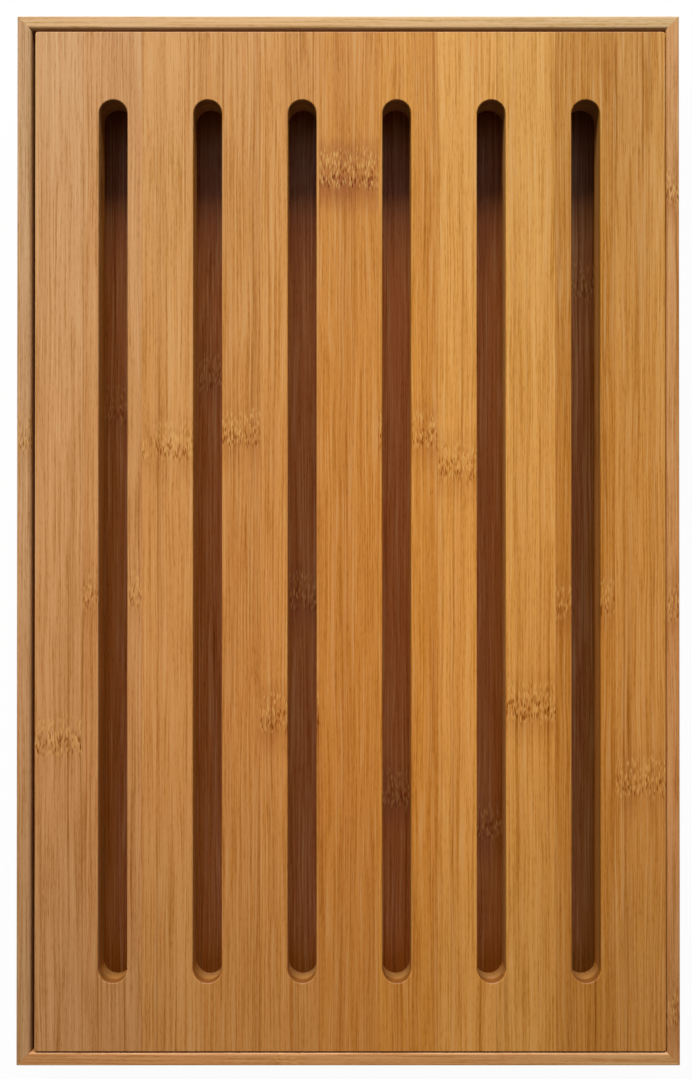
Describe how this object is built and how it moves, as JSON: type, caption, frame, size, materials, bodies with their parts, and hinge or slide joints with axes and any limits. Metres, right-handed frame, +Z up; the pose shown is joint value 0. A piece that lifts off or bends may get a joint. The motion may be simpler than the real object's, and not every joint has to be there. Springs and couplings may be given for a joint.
{
  "type": "bread board with crumb catcher",
  "caption": "Slotted bamboo bread board lying loose on ledges inside a shallow mitred bamboo tray, which catches the crumbs that fall through the slots.",
  "frame": {"origin": "middle of the tray's footprint, on the surface that it stands on", "axes": "+Z up out of the tray; +Y along the board's length, towards its back; +X across it, to the right"},
  "size_m": [0.24, 0.38, 0.035],
  "materials": {
    "board_bamboo": "oiled flat-pressed bamboo, satin",
    "tray_bamboo": "oiled bamboo, satin",
    "floor_bamboo": "oiled flat-pressed bamboo, satin"
  },
  "bodies": {
    "tray": {"tray_wall_back": "tray_bamboo", "tray_wall_left": "tray_bamboo", "tray_wall_front": "tray_bamboo", "tray_wall_right": "tray_bamboo", "tray_ledge_back": "tray_bamboo", "tray_ledge_front": "tray_bamboo", "floor_stave_01": "floor_bamboo", "floor_stave_02": "floor_bamboo", "floor_stave_03": "floor_bamboo", "floor_stave_04": "floor_bamboo", "floor_stave_05": "floor_bamboo", "floor_stave_06": "floor_bamboo", "floor_stave_07": "floor_bamboo", "floor_stave_08": "floor_bamboo", "floor_stave_09": "floor_bamboo", "floor_stave_10": "floor_bamboo", "floor_stave_11": "floor_bamboo"},
    "board": {"board_stave_01": "board_bamboo", "board_stave_02": "board_bamboo", "board_stave_03": "board_bamboo", "board_stave_04": "board_bamboo", "board_stave_05": "board_bamboo", "board_stave_06": "board_bamboo", "board_stave_07": "board_bamboo", "board_stave_08": "board_bamboo", "board_stave_09": "board_bamboo", "board_stave_10": "board_bamboo", "board_stave_11": "board_bamboo"}
  },
  "joints": [
    {"name": "board_lift", "type": "slide", "parent": "tray", "child": "board", "axis": [0, 0, 1], "range_m": [0, 0.05]}
  ]
}
